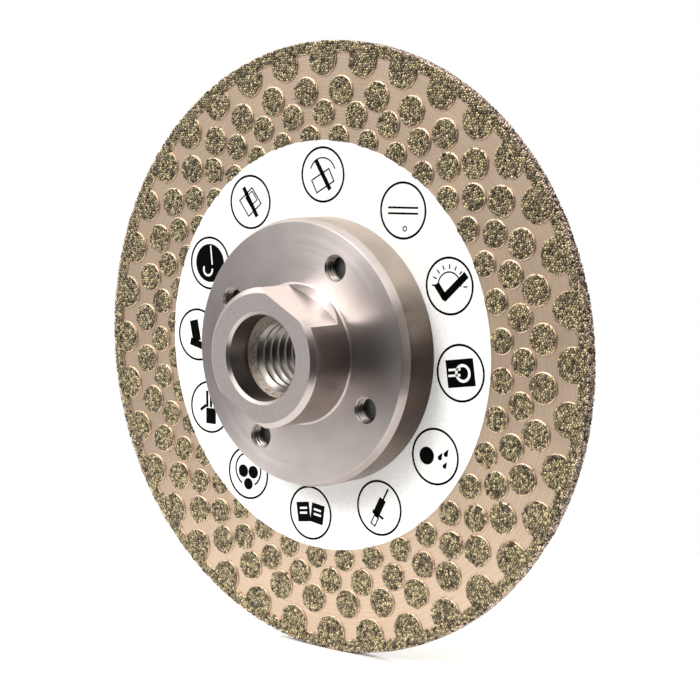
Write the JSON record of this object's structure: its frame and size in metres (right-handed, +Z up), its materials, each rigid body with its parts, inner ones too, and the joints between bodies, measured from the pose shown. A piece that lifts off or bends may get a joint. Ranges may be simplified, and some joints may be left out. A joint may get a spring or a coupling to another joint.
{
  "type": "diamond grinding wheel",
  "caption": "Flat diamond grinding disc with raised grit pads and a grit-wrapped edge, screwed to a flanged hub with an internal spindle thread.",
  "frame": {"origin": "on the spin axis, on the plated face of the disc that the hub's flange sits on", "axes": "Y is the spin axis and the boss points to -Y, towards the machine; +Z is up with the disc standing on edge"},
  "size_m": [0.115, 0.0207, 0.115],
  "materials": {
    "steel_blank": "ground steel, hidden under the plating",
    "nickel_plating": "warm satin nickel plate with fine brush lines",
    "diamond_grit": "coarse diamond crystals set in nickel, olive grey with bright glints",
    "label": "matt white printed label with black picture marks",
    "hub_steel": "turned steel with round tool marks",
    "screw_steel": "dark oiled steel"
  },
  "bodies": {
    "root": {"steel_disc": "steel_blank", "front_plating": "nickel_plating", "back_plating": "nickel_plating", "rim_band": "diamond_grit", "label_ring": "label", "flange_hub": "hub_steel", "screw_1": "screw_steel", "screw_2": "screw_steel", "screw_3": "screw_steel", "screw_4": "screw_steel"}
  },
  "joints": []
}
